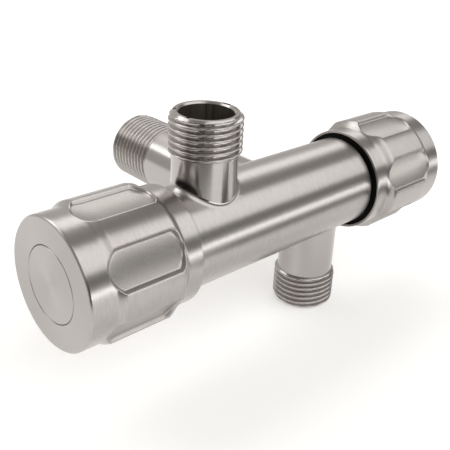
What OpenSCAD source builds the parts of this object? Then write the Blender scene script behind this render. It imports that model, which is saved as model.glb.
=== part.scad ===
// Double-handle angle valve: one threaded inlet at the back, two threaded outlets, and a quarter-turn
// ceramic cartridge with its own scalloped knob at each end of the body tube.
// The origin is on the inlet's axis at the middle of its full thread. +X runs along the body from the
// front knob to the rear knob, +Y runs from the body towards the wall, and +Z is up.

/* [Body tube] */
// Outside diameter of the body tube
body_d = 30; // [29:0.5:33]
// Length of the body tube from end to end
body_l = 74; // [73:0.5:80]
// Chamfer on the tube's ends
body_chamfer = 0.8; // [0.4:0.1:1.2]
// Diameter of the chambers bored inside the tube
chamber_d = 23.5; // [22:0.5:24]
// Length of the inlet chamber between the two seat webs
inlet_chamber_l = 26; // [25:0.5:27]
// Thickness of each seat web
web_t = 2.5; // [2:0.25:3]
// Diameter of the hole through each seat web
seat_hole_d = 10.5; // [8:0.5:12]
// Bore at each end of the tube that the cartridge screws into
cartridge_bore_d = 20; // [19.6:0.2:20.4]
// Depth of the recess for the housing seal in the tube's end
seal_recess_l = 1.6; // [1.2:0.1:2]
// Diameter of the recess for the housing seal
seal_recess_d = 25; // [24:0.5:26]

/* [Ports] */
// Major diameter of the G 1/2 pipe thread on both outlets
outlet_thread_d = 20.955; // [20.955]
// Distance from the tube's axis to the upper outlet's end
upper_outlet_reach = 36.5; // [34:0.5:45]
// Distance from the tube's axis to the lower outlet's end
lower_outlet_reach = 41; // [34:0.5:45]
// Distance of each outlet's axis from the middle of the tube, along the tube
outlet_offset = 24.5; // [24:0.1:25]
// Threaded length of an outlet
outlet_thread_l = 12; // [10:0.5:14]
// Diameter of an outlet's plain neck
outlet_neck_d = 19; // [18.6:0.1:20]
// Bore of an outlet
outlet_bore_d = 15.6; // [13:0.2:15.8]
// Radius of the fillet between an outlet's neck and the tube
port_fillet_r = 1.8; // [1:0.1:2.5]
// Major diameter of the G 5/8 pipe thread on the inlet
inlet_thread_d = 22.911; // [22.911]
// Distance from the tube's axis to the inlet's end
inlet_reach = 68; // [50:1:80]
// Distance of the inlet's axis from the middle of the tube, along the tube
inlet_offset = 2; // [-4:0.5:4]
// Threaded length of the inlet
inlet_thread_l = 20; // [14:1:24]
// Diameter of the inlet's neck where it meets the thread
inlet_neck_d = 23; // [22.95:0.05:24]
// Diameter of the inlet's neck where it meets the tube
inlet_root_d = 23.4; // [23:0.2:25]
// Bore of the inlet
inlet_bore_d = 14; // [12:0.5:14.5]
// Chamfer on the outer edge of each port's end
thread_chamfer = 1.0; // [0.6:0.1:1.4]
// Chamfer on the bore's edge of each port's end
bore_chamfer = 0.5; // [0.3:0.1:0.8]

/* [Cartridge] */
// Thickness of the rubber seat seal
seat_seal_t = 2; // [1.5:0.25:2.5]
// Thickness of each ceramic disc
disc_t = 3; // [2.5:0.25:3.5]
// Diameter of the ceramic discs
disc_d = 16.4; // [16:0.2:16.8]
// Radius of the openings in the ceramic discs
disc_port_r = 6.6; // [6:0.1:7]
// Angle of each of a disc's two openings
disc_port_deg = 76; // [60:2:84]
// Gap between the housing's barrel and the bore of the tube, all round
barrel_gap = 0.6; // [0.4:0.1:0.8]
// Length of the housing's side windows
window_l = 7; // [5:0.5:7.5]
// Width of the housing's side windows
window_w = 11; // [8:0.5:12]
// Diameter of the housing's flange
flange_d = 26; // [25:0.5:26.4]
// Thickness of the housing's flange
flange_t = 1.5; // [1.2:0.1:2]
// Size of the housing's hexagon across its flats
hex_af = 21; // [19:0.5:22]
// Length of the housing's hexagon
hex_l = 6; // [5:0.5:7]
// Diameter of the housing's neck
neck_d = 15; // [14:0.5:16]
// Length of the housing's neck
neck_l = 6.5; // [6:0.5:8]
// Diameter of the stem
stem_d = 10; // [9:0.5:10.5]
// Thickness of the stem's collar
collar_t = 1.6; // [1.2:0.1:2]
// Thickness of the thrust washer
thrust_washer_t = 1; // [0.6:0.1:1.4]
// Thickness of the O-rings on the stem
o_ring_t = 1.8; // [1.4:0.1:2]
// Depth of the stop's recess in the top of the housing's neck
stop_l = 2; // [1.5:0.25:2.5]
// Angle that the stem turns between its stops
turn_deg = 90; // [90]

/* [Knob] */
// Length of a knob
knob_l = 35.5; // [34:0.5:40]
// Distance from the tube's end to the knob's lip
lip_stand = 1.4; // [1:0.1:2.5]
// How far the inside of the knob's lip stands out past the tube, all round
lip_gap = 1.4; // [1.2:0.05:2.2]
// Wall of the knob's lip
lip_t = 0.9; // [0.8:0.1:1.4]
// Height of the ribs over the knob's skirt
rib_rise = 2.1; // [1.65:0.05:2.5]
// Height of the smooth band behind the knob's face over the skirt
band_rise = 0.85; // [0.3:0.05:1.2]
// Length of the smooth band
band_l = 6.8; // [6:0.2:8]
// Length of the slope from the band to the ribs
outer_slope_l = 3; // [2.5:0.25:4]
// Length of the slope from the ribs to the skirt
inner_slope_l = 4; // [3:0.25:5]
// Length of the skirt
skirt_l = 4.2; // [3.6:0.2:7]
// Thickness of the knob's front wall
face_t = 2.5; // [2.2:0.1:3.5]
// Chamfer round the knob's face
face_chamfer = 0.5; // [0.3:0.1:0.8]
// Number of scooped grips round a knob
grip_n = 6; // [5:1:7]
// Width of a scooped grip
grip_w = 11.2; // [9:0.2:12]
// Length of a scooped grip
grip_l = 22.4; // [20:0.2:23.4]
// Distance of a scooped grip from the knob's face
grip_from_face = 6.6; // [6:0.1:6.7]
// Cut across the corners of a scooped grip
grip_corner = 2.6; // [1.5:0.1:3.5]
// Depth of a scooped grip at its middle
grip_depth = 1.6; // [1:0.1:1.8]
// Radius of a scooped grip's hollow floor
grip_floor_r = 42; // [30:1:80]
// Diameter of the cap in the knob's face
cap_d = 20.8; // [19:0.2:22]
// Thickness of the cap
cap_t = 1.5; // [1.2:0.1:1.8]
// Turn of the front knob's first grip from straight up
front_knob_turn = 54; // [0:1:59]
// Turn of the rear knob's first grip from straight up
rear_knob_turn = 16; // [0:1:59]

/* [Liner] */
// Depth of the liner's end inside the knob's lip
liner_recess = 0.6; // [0.4:0.1:1]
// Diameter of the liner's well round the cartridge
well_d = 27.4; // [27:0.2:28]
// Thickness of the liner's web
liner_web_t = 3; // [2:0.25:4]
// Diameter of the liner's boss
boss_d = 14; // [13:0.5:16]
// Number of the liner's radial ribs
liner_rib_n = 6; // [4:1:8]
// Thickness of the liner's radial ribs
liner_rib_t = 1.6; // [1.2:0.1:2]
// Diameter over the spline's teeth
spline_d = 8.6; // [8:0.1:9]
// Depth of the spline's teeth
spline_depth = 0.5; // [0.3:0.05:0.6]
// Number of teeth on the spline
spline_n = 20; // [16:2:24]
// Thread diameter of the handle screw
screw_d = 4; // [3.5:0.5:4]
// Length of the handle screw under its head
screw_l = 9; // [8:0.5:10]
// Diameter of the handle screw's head
screw_head_d = 7.4; // [6.5:0.1:8]
// Height of the handle screw's head
screw_head_t = 2.2; // [1.8:0.1:2.4]

/* [Hidden] */
$fn = 96;

// The rolled fillets: the depth that their edges run under the surfaces they join, how far their
// root lies from the ball's middle in radii, and their divisions
fillet_sink = 0.15;
fillet_root = 1.7;
fillet_turns = 36;
fillet_steps = 4;

// Clearances
running_gap = 0.05;
disc_gap = 0.05;
seal_gap = 0.02;
fit_gap = 0.05;
cap_gap = 0.1;
axial_gap = 0.3;
step_gap = 0.2;
seat_gap = 0.6;
head_gap = 0.45;
stop_gap_deg = 1;
cut_over = 1;

// Small features
circlip_t = 1;
circlip_reach = 1.6;
circlip_depth = 0.6;
circlip_gap_deg = 50;
tang_w = 3;
tang_l = 11;
tang_depth = 1.5;
stop_lug_h = 1.3;
o_ring_squeeze = 0.4;
rib_root = 0.8;
boss_end_t = 2;
ledge_w = 1.8;
cap_skirt_t = 1.2;
cap_skirt_over = 1;
cap_root = 0.5;
rib_round = 0.15;
slot_w = 1;

// Stations along the rear half of the valve, from the middle of the tube outwards
tube_end_x = body_l / 2;
seat_x = inlet_chamber_l / 2 + web_t;
fixed_disc_x = seat_x + seat_seal_t;
moving_disc_x = fixed_disc_x + disc_t + disc_gap;
disc_top_x = moving_disc_x + disc_t;
chamber_end_x = outlet_offset + outlet_bore_d / 2 + step_gap;
barrel_x = seat_x + seat_gap;
thread_x = chamber_end_x + axial_gap;
window_x = disc_top_x + step_gap;
collar_x = window_x + window_l + step_gap;
thrust_washer_x = collar_x + collar_t + seal_gap;
shoulder_x = thrust_washer_x + thrust_washer_t + seal_gap;
hex_x = tube_end_x + flange_t;
neck_x = hex_x + hex_l;
neck_end_x = neck_x + neck_l;
circlip_x = neck_end_x + running_gap;
spline_x = circlip_x + circlip_t + 1;
lip_x = tube_end_x + lip_stand;
face_x = lip_x + knob_l;
wall_x = face_x - face_t;
boss_end_x = wall_x - head_gap - screw_head_t;
boss_bore_end_x = boss_end_x - boss_end_t;
stem_end_x = boss_bore_end_x - axial_gap;
spline_l = stem_end_x - spline_x;

// Sizes that follow from the driving ones
inlet_full_thread_l = inlet_thread_l - 1.5 * thread_chamfer;
origin_y = inlet_reach - thread_chamfer - inlet_full_thread_l / 2;
body_r = body_d / 2;
knob_inner_r = body_r + lip_gap;
skirt_d = 2 * (knob_inner_r + lip_t);
rib_d = skirt_d + 2 * rib_rise;
band_d = skirt_d + 2 * band_rise;
barrel_d = cartridge_bore_d - 2 * barrel_gap;
pocket_r = disc_d / 2 + running_gap;
stem_bore_r = stem_d / 2 + running_gap;
shaft_r = stem_d / 2 - 1;
collar_r = disc_d / 2;
stop_r = stem_d / 2 + stop_lug_h;
stop_lug_deg = (360 - turn_deg) / 2;
o_ring_x = [for (k = [1, 2]) shoulder_x + (neck_end_x - stop_l - shoulder_x) * k / 3];
liner_x = lip_x + liner_recess;
liner_web_x = circlip_x + circlip_t + axial_gap;
liner_end_x = wall_x - fit_gap;
screw_hole_r = screw_d / 2 + fit_gap;
ledge_r = cap_d / 2 - ledge_w;
knob_turns = [front_knob_turn, rear_knob_turn];

// Places what is drawn about the middle of the tube in the valve's own frame
module in_frame() {
    translate([-inlet_offset, -origin_y, 0]) children();
}

// Turns a part of the rear half about the inlet's axis for the front half
module half(rear) {
    in_frame() rotate([0, rear ? 0 : 180, 0]) children();
}

// A round solid along +X from x0 to x1
module rod(r, x0, x1) {
    translate([x0, 0, 0]) rotate([0, 90, 0]) cylinder(r = r, h = x1 - x0);
}

// A ring along +X from x0 to x1
module ring(r_out, r_in, x0, x1) {
    difference() {
        rod(r_out, x0, x1);
        rod(r_in, x0 - cut_over, x1 + cut_over);
    }
}

// Revolves a profile of [x, r] points about the X axis
module turned(points) {
    rotate([90, 0, 90]) rotate_extrude() polygon([for (p = points) [p[1], p[0]]]);
}

// A sector of a disc about +X, centred on the angle at from +Y, from x0 to x1
module sector(r, angle, at, x0, x1) {
    half_angle = angle / 2;
    reach = r * 1.5;
    intersection() {
        rod(r, x0, x1);
        translate([x0, 0, 0]) rotate([90, 0, 90]) linear_extrude(x1 - x0)
            polygon(concat([[0, 0]], [for (k = [0 : 6])
                reach * [cos(at - half_angle + angle * k / 6), sin(at - half_angle + angle * k / 6)]]));
    }
}

// The outside of a threaded port along +Z, the thread left plain at its major diameter
module port_solid(reach, neck_d, root_d, thread_d, thread_l) {
    rotate_extrude() polygon([
        [0, 0],
        [root_d / 2, 0],
        [root_d / 2, body_r * 0.9],
        [neck_d / 2, reach - thread_l - thread_chamfer],
        [neck_d / 2, reach - thread_l],
        [thread_d / 2, reach - thread_l + thread_chamfer / 2],
        [thread_d / 2, reach - thread_chamfer],
        [thread_d / 2 - thread_chamfer, reach],
        [0, reach]
    ]);
}

// The bore of a port along +Z, with the chamfer at its mouth
module port_bore(reach, bore_d) {
    translate([0, 0, body_r / 3]) cylinder(d = bore_d, h = reach);
    translate([0, 0, reach - bore_chamfer])
        cylinder(r1 = bore_d / 2, r2 = bore_d / 2 + 2 * bore_chamfer, h = 2 * bore_chamfer);
}

// The fillet where a port of radius r meets the tube, rolled round the joint by a ball of radius f
function fillet_ring(r, f, phi) =
    let (
        side = (r + f) * sin(phi),
        ball = [(r + f) * cos(phi), side, sqrt(pow(body_r + f, 2) - side * side)],
        on_port = [r * cos(phi), r * sin(phi), ball[2]],
        on_tube = [ball[0], ball[1] * body_r / (body_r + f), ball[2] * body_r / (body_r + f)],
        inward = (on_port + on_tube) / 2 - ball,
        arc = [for (k = [0 : fillet_steps])
            let (share = k / fillet_steps, v = (on_port - ball) * (1 - share) + (on_tube - ball) * share)
            ball + v / norm(v) * (f + fillet_sink)]
    )
    concat(arc, [ball + inward / norm(inward) * f * fillet_root]);

// The fillet as a closed bead of rings
module port_fillet(r, f) {
    turns = fillet_turns;
    rings = [for (k = [0 : turns - 1]) fillet_ring(r, f, 360 * (k + 0.5) / turns)];
    n = len(rings[0]);
    polyhedron(
        points = [for (ring = rings) each ring],
        faces = [for (k = [0 : turns - 1]) let (m = (k + 1) % turns)
            for (j = [0 : n - 1]) let (i = (j + 1) % n) each [
                [k * n + j, m * n + j, m * n + i],
                [k * n + j, m * n + i, k * n + i]
            ]]
    );
}

// The upper outlet stands on the front half, at side -1, and the lower one hangs from the rear half
function outlet_reach(side) = side < 0 ? upper_outlet_reach : lower_outlet_reach;

module at_outlet(side) {
    translate([side * outlet_offset, 0, 0]) rotate([side > 0 ? 180 : 0, 0, 0]) children();
}

module valve_body() {
    color("silver") in_frame() difference() {
        union() {
            turned([
                [-tube_end_x, 0],
                [-tube_end_x, body_r - body_chamfer],
                [-tube_end_x + body_chamfer, body_r],
                [tube_end_x - body_chamfer, body_r],
                [tube_end_x, body_r - body_chamfer],
                [tube_end_x, 0]
            ]);
            for (side = [-1, 1]) at_outlet(side) {
                port_solid(outlet_reach(side), outlet_neck_d, outlet_neck_d, outlet_thread_d, outlet_thread_l);
                port_fillet(outlet_neck_d / 2, port_fillet_r);
            }
            translate([inlet_offset, 0, 0]) rotate([-90, 0, 0])
                port_solid(inlet_reach, inlet_neck_d, inlet_root_d, inlet_thread_d, inlet_thread_l);
        }
        rod(chamber_d / 2, -inlet_chamber_l / 2, inlet_chamber_l / 2);
        rod(seat_hole_d / 2, -seat_x - cut_over, seat_x + cut_over);
        for (side = [0, 180]) rotate([0, side, 0]) {
            rod(chamber_d / 2, seat_x, chamber_end_x);
            rod(cartridge_bore_d / 2, seat_x, tube_end_x + cut_over);
            rod(seal_recess_d / 2, tube_end_x - seal_recess_l, tube_end_x + cut_over);
        }
        for (side = [-1, 1]) at_outlet(side) port_bore(outlet_reach(side), outlet_bore_d);
        translate([inlet_offset, 0, 0]) rotate([-90, 0, 0]) port_bore(inlet_reach, inlet_bore_d);
    }
}

module cartridge_housing(rear) {
    color("goldenrod") half(rear) difference() {
        union() {
            rod(barrel_d / 2, barrel_x, tube_end_x);
            rod(cartridge_bore_d / 2 - fit_gap, thread_x, tube_end_x);
            rod(flange_d / 2, tube_end_x, hex_x);
            translate([hex_x, 0, 0]) rotate([0, 90, 0]) cylinder(d = hex_af / cos(30), h = hex_l, $fn = 6);
            rod(neck_d / 2, neck_x, neck_end_x);
        }
        rod(pocket_r, barrel_x - cut_over, shoulder_x);
        rod(stem_bore_r, shoulder_x - cut_over, neck_end_x + cut_over);
        translate([window_x, -window_w / 2, -barrel_d]) cube([window_l, window_w, 2 * barrel_d]);
        difference() {
            rod(stop_r, neck_end_x - stop_l, neck_end_x + cut_over);
            sector(stop_r + cut_over, stop_lug_deg, -90,
                neck_end_x - stop_l - cut_over, neck_end_x + 2 * cut_over);
        }
    }
}

module housing_seal(rear) {
    color("dimgray") half(rear)
        ring(seal_recess_d / 2 - fit_gap, cartridge_bore_d / 2, tube_end_x - seal_recess_l, tube_end_x);
}

module seat_seal(rear) {
    color("dimgray") half(rear) ring(pocket_r - fit_gap, seat_hole_d / 2, seat_x, fixed_disc_x);
}

// The two openings through a ceramic disc, across the angle at from +Y
module disc_ports(at, x0, x1) {
    for (k = [0, 180]) difference() {
        sector(disc_port_r, disc_port_deg, at + k, x0 - cut_over, x1 + cut_over);
        rod(disc_port_r / 4, x0 - 2 * cut_over, x1 + 2 * cut_over);
    }
}

module fixed_disc(rear) {
    color("white") half(rear) difference() {
        rod(disc_d / 2, fixed_disc_x, fixed_disc_x + disc_t);
        disc_ports(90, fixed_disc_x, fixed_disc_x + disc_t);
    }
}

module moving_disc(rear) {
    color("ivory") half(rear) difference() {
        rod(disc_d / 2, moving_disc_x, disc_top_x);
        disc_ports(0, moving_disc_x, disc_top_x);
        translate([disc_top_x - tang_depth, -tang_w / 2 - fit_gap, -tang_l / 2 - fit_gap])
            cube([tang_depth + cut_over, tang_w + 2 * fit_gap, tang_l + 2 * fit_gap]);
    }
}

// The toothed outline of the spline, grown by a gap
module spline_outline(gap) {
    polygon([for (k = [0 : 2 * spline_n - 1])
        (spline_d / 2 + gap - (k % 2) * spline_depth) * [cos(180 * k / spline_n), sin(180 * k / spline_n)]]);
}

module stem(rear) {
    color("khaki") half(rear) difference() {
        union() {
            translate([disc_top_x - tang_depth, -tang_w / 2, -tang_l / 2])
                cube([2 * tang_depth, tang_w, tang_l]);
            rod(shaft_r, disc_top_x + fit_gap, collar_x + cut_over);
            rod(collar_r - running_gap, collar_x, collar_x + collar_t);
            rod(stem_d / 2, collar_x, spline_x);
            sector(stop_r - running_gap, stop_lug_deg - 2 * stop_gap_deg, 45,
                neck_end_x - stop_l + running_gap, neck_end_x);
            translate([spline_x, 0, 0]) rotate([90, 0, 90]) linear_extrude(spline_l) spline_outline(0);
        }
        for (x = o_ring_x)
            ring(stem_d, stem_d / 2 - o_ring_t + o_ring_squeeze,
                x - o_ring_t / 2 - cap_gap, x + o_ring_t / 2 + cap_gap);
        ring(stem_d, stem_d / 2 - circlip_depth, circlip_x, circlip_x + circlip_t + fit_gap);
        rod(screw_hole_r, stem_end_x - screw_l, stem_end_x + cut_over);
    }
}

module stem_o_rings(rear) {
    ring_r = (o_ring_t - o_ring_squeeze - seal_gap) / 2;
    color("black") half(rear) for (x = o_ring_x) translate([x, 0, 0]) rotate([0, 90, 0])
        rotate_extrude() translate([stem_bore_r - seal_gap - ring_r, 0]) circle(r = ring_r, $fn = 32);
}

module thrust_washer(rear) {
    color("white") half(rear) ring(collar_r - running_gap, stem_d / 2 + seal_gap,
        thrust_washer_x, thrust_washer_x + thrust_washer_t);
}

module circlip(rear) {
    color("dimgray") half(rear) difference() {
        ring(stem_d / 2 + circlip_reach, stem_d / 2 - circlip_depth, circlip_x, circlip_x + circlip_t);
        sector(stem_d, circlip_gap_deg, 90, circlip_x - cut_over, circlip_x + circlip_t + cut_over);
    }
}

module knob_liner(rear) {
    rib_reach = (well_d - boss_d) / 2 + 2 * rib_root;
    color("#1b1b1b") half(rear) difference() {
        union() {
            ring(knob_inner_r - fit_gap, well_d / 2, liner_x, liner_end_x);
            rod(knob_inner_r - fit_gap, liner_web_x, liner_web_x + liner_web_t);
            rod(boss_d / 2, liner_web_x, boss_end_x);
            for (k = [0 : liner_rib_n - 1]) rotate([360 * k / liner_rib_n, 0, 0])
                translate([liner_web_x + liner_web_t / 2, boss_d / 2 - rib_root, -liner_rib_t / 2])
                    cube([boss_end_x - liner_web_x - liner_web_t, rib_reach, liner_rib_t]);
        }
        rod(stem_d / 2 + axial_gap, liner_web_x - cut_over, spline_x + fit_gap);
        translate([spline_x, 0, 0]) rotate([90, 0, 90])
            linear_extrude(boss_bore_end_x - spline_x) spline_outline(fit_gap);
        rod(screw_hole_r, liner_web_x, boss_end_x + cut_over);
    }
}

// The outline that is cut away by one scooped grip, seen from outside, with its corners cut off
module grip_outline() {
    a = grip_l / 2;
    b = grip_w / 2;
    c = grip_corner;
    polygon([
        [-a, -b + c], [-a + c, -b], [a - c, -b], [a, -b + c],
        [a, b - c], [a - c, b], [-a + c, b], [-a, b - c]
    ]);
}

module grip_cut() {
    floor_axis_r = rib_d / 2 - grip_depth + grip_floor_r;
    translate([face_x - grip_from_face - grip_l / 2, 0, 0]) intersection() {
        translate([0, 0, rib_d / 4]) linear_extrude(rib_d / 2) grip_outline();
        translate([-grip_l, 0, floor_axis_r]) rotate([0, 90, 0]) cylinder(r = grip_floor_r, h = 2 * grip_l);
    }
}

module knob_shell(rear) {
    ribs_outer_x = face_x - band_l - outer_slope_l;
    ribs_inner_x = lip_x + skirt_l + inner_slope_l;
    color("silver") half(rear) difference() {
        turned([
            [lip_x, knob_inner_r],
            [lip_x, skirt_d / 2 - lip_t / 4],
            [lip_x + lip_t / 4, skirt_d / 2],
            [lip_x + skirt_l, skirt_d / 2],
            [ribs_inner_x - inner_slope_l / 4, rib_d / 2 - rib_round],
            [ribs_inner_x, rib_d / 2],
            [ribs_outer_x, rib_d / 2],
            [ribs_outer_x + outer_slope_l / 4, rib_d / 2 - rib_round],
            [face_x - band_l, band_d / 2],
            [face_x - face_chamfer, band_d / 2],
            [face_x, band_d / 2 - face_chamfer],
            [face_x, cap_d / 2 + cap_gap],
            [face_x - cap_t, cap_d / 2 + cap_gap],
            [face_x - cap_t, ledge_r],
            [wall_x, ledge_r],
            [wall_x, knob_inner_r]
        ]);
        for (k = [0 : grip_n - 1]) rotate([knob_turns[rear ? 1 : 0] + 360 * k / grip_n, 0, 0]) grip_cut();
    }
}

module handle_screw(rear) {
    color("silver") half(rear) difference() {
        union() {
            rod(screw_d / 2, boss_end_x - screw_l, boss_end_x + cut_over);
            turned([
                [boss_end_x, 0],
                [boss_end_x, screw_head_d / 2],
                [boss_end_x + screw_head_t / 2, screw_head_d / 2],
                [boss_end_x + screw_head_t, screw_head_d / 4],
                [boss_end_x + screw_head_t, 0]
            ]);
        }
        for (a = [0, 90]) rotate([a, 0, 0])
            translate([boss_end_x + screw_head_t / 2, -slot_w / 2, -screw_head_d / 4])
                cube([screw_head_t, slot_w, screw_head_d / 2]);
    }
}

module knob_cap(rear) {
    color("silver") half(rear) union() {
        rod(cap_d / 2, face_x - cap_t, face_x);
        ring(ledge_r - fit_gap, ledge_r - cap_skirt_t, wall_x - cap_skirt_over, face_x - cap_t + cap_root);
    }
}

valve_body();
cartridge_housing(false);  // front_cartridge_housing
cartridge_housing(true);  // rear_cartridge_housing
housing_seal(false);  // front_housing_seal
housing_seal(true);  // rear_housing_seal
seat_seal(false);  // front_seat_seal
seat_seal(true);  // rear_seat_seal
fixed_disc(false);  // front_fixed_disc
fixed_disc(true);  // rear_fixed_disc
moving_disc(false);  // front_moving_disc
moving_disc(true);  // rear_moving_disc
stem(false);  // front_stem
stem(true);  // rear_stem
stem_o_rings(false);  // front_stem_o_rings
stem_o_rings(true);  // rear_stem_o_rings
thrust_washer(false);  // front_thrust_washer
thrust_washer(true);  // rear_thrust_washer
circlip(false);  // front_circlip
circlip(true);  // rear_circlip
knob_liner(false);  // front_knob_liner
knob_liner(true);  // rear_knob_liner
knob_shell(false);  // front_knob_shell
knob_shell(true);  // rear_knob_shell
handle_screw(false);  // front_handle_screw
handle_screw(true);  // rear_handle_screw
knob_cap(false);  // front_knob_cap
knob_cap(true);  // rear_knob_cap
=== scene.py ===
"""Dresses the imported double-handle angle valve: a threaded stainless casting, two scalloped knobs, their
caps, the finishes of every inner part, and a plain studio with the camera at the photograph's angle."""

import math

import bmesh
import bpy
import numpy as np
from bpy.props import FloatProperty, FloatVectorProperty, IntProperty, PointerProperty
from mathutils import Matrix, Vector


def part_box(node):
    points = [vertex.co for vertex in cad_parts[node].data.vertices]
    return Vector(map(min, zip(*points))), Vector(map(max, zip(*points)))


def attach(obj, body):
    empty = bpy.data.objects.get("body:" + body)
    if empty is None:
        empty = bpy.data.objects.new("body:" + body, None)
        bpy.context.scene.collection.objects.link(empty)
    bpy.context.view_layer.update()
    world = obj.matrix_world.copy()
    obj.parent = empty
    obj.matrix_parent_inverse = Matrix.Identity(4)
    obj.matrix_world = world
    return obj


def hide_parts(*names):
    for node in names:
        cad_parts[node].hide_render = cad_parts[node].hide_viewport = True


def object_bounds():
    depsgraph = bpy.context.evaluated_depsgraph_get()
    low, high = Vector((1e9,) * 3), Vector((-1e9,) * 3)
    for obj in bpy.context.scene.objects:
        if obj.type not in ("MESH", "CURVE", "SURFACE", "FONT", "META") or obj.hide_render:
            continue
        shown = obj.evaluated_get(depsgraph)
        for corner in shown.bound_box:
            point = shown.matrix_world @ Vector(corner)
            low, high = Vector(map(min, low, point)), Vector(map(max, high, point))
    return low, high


bl_info = {
    "name": "Double-Handle Angle Valve",
    "version": (1, 0, 0),
    "blender": (4, 5, 0),
    "location": "View3D > Sidebar > Angle Valve",
    "description": "Builds the valve's threaded casting, scalloped knobs, finishes and studio",
    "category": "Object",
}

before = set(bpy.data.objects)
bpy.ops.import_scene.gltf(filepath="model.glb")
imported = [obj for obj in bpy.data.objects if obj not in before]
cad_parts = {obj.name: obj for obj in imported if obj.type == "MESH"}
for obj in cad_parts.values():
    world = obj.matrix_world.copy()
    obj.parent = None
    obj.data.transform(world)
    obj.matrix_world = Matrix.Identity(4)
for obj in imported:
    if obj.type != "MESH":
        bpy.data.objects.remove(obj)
cad_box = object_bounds()

MM = 0.001
BODY_LO, BODY_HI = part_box("valve_body")
SHELL_LO, SHELL_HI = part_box("rear_knob_shell")
TUBE_MIDDLE_X = (BODY_LO[0] + BODY_HI[0]) / 2
TUBE_Y = (SHELL_LO[1] + SHELL_HI[1]) / 2
TUBE_MIDDLE = Vector((TUBE_MIDDLE_X, TUBE_Y, 0))
REAR = Matrix.Translation(TUBE_MIDDLE)
FRONT = REAR @ Matrix.Rotation(math.pi, 4, "Y")

TUBE_SEGMENTS = 192
BORE_SEGMENTS = 128
DISC_SEGMENTS = 160
SPIGOT_SEGMENTS = 160
THREAD_SEGMENTS = 128
ROWS_PER_PITCH = 18
FRAME_PX = 450
SENSOR_MM = 36
WHITE = (1.0, 1.0, 1.0, 1.0)
MATH = "ShaderNodeMath"


def length(name, description, default_mm):
    """A length property in metres, given in millimetres."""
    return FloatProperty(
        name=name, description=description, default=default_mm * MM, min=0.0, max=400 * MM,
        precision=5, subtype="DISTANCE", unit="LENGTH",
    )


def linear(hex_colour):
    """A linear RGBA colour from an sRGB hex value."""
    parts = [int(hex_colour[i : i + 2], 16) / 255 for i in (1, 3, 5)]
    return tuple(c / 12.92 if c <= 0.04045 else ((c + 0.055) / 1.055) ** 2.4 for c in parts) + (1.0,)


def paint(name, description, hex_colour):
    """A colour property that shows an sRGB hex value."""
    return FloatVectorProperty(
        name=name, description=description, default=linear(hex_colour), size=4, min=0, max=1,
        subtype="COLOR",
    )


class CastingSizes(bpy.types.PropertyGroup):
    """Sizes of the body casting."""

    tube_d: length("Tube diameter", "Outside diameter of the body tube", 30)
    tube_l: length("Tube length", "Body tube from end to end", (BODY_HI[0] - BODY_LO[0]) * 1000)
    tube_chamfer: length("Tube chamfer", "Chamfer on the tube's ends", 0.8)
    tube_skirt_l: length("Tube skirt", "Thin rim of the tube round the cartridge's flange", 1.1)
    tube_skirt_d: length("Tube skirt inside", "Inside diameter of that rim", 26.4)
    chamber_d: length("Chamber", "Diameter of the water chambers in the tube", 23.5)
    inlet_chamber_l: length("Inlet chamber", "Length of the chamber between the seat webs", 26)
    web_t: length("Seat web", "Thickness of each seat web", 2.5)
    seat_hole_d: length("Seat hole", "Hole through each seat web", 10.5)
    cartridge_bore_d: length("Cartridge bore", "Bore that the cartridge screws into", 20)
    seal_recess_d: length("Seal recess", "Diameter of the recess for the housing seal", 25)
    seal_recess_l: length("Recess depth", "Depth of the recess for the housing seal", 1.6)
    outlet_offset: length("Outlet offset", "Outlet axis from the middle of the tube", 24.5)
    upper_reach: length("Upper reach", "Tube axis to the upper outlet's end", BODY_HI[2] * 1000)
    lower_reach: length("Lower reach", "Tube axis to the lower outlet's end", -BODY_LO[2] * 1000)
    outlet_thread_d: length("Outlet thread", "Crest diameter of the half-inch pipe thread", 20.955)
    outlet_thread_l: length("Outlet thread length", "Threaded length of an outlet", 12)
    outlet_neck_d: length("Outlet neck", "Diameter of an outlet's plain neck", 19)
    outlet_bore_d: length("Outlet bore", "Bore of an outlet", 15.6)
    inlet_offset: length("Inlet offset", "Inlet axis from the middle of the tube", 2)
    inlet_reach: length("Inlet reach", "Tube axis to the inlet's end", (BODY_HI[1] - TUBE_Y) * 1000)
    inlet_thread_d: length("Inlet thread", "Crest diameter of the inlet's pipe thread", 22.911)
    inlet_thread_l: length("Inlet thread length", "Threaded length of the inlet", 20)
    inlet_neck_d: length("Inlet neck", "Inlet diameter where it meets the thread", 23)
    inlet_root_d: length("Inlet root", "Inlet diameter where it meets the tube", 23.4)
    inlet_bore_d: length("Inlet bore", "Bore of the inlet", 14)
    pitch: length("Pitch", "Pitch of the pipe threads, fourteen to the inch", 1.814)
    thread_depth: length("Thread depth", "Crest to root of the pipe threads", 1.162)
    thread_chamfer: length("Thread chamfer", "Chamfer on the thread's first turn", 1.25)
    bore_chamfer: length("Bore chamfer", "Chamfer at the mouth of each bore", 0.5)
    upper_fillet: length("Upper fillet", "Fillet between the upper outlet and the tube", 1.8)
    lower_fillet: length("Lower fillet", "Fillet between the lower outlet and the tube", 0.7)
    inlet_fillet: length("Inlet fillet", "Fillet between the inlet and the tube", 0.6)


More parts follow.
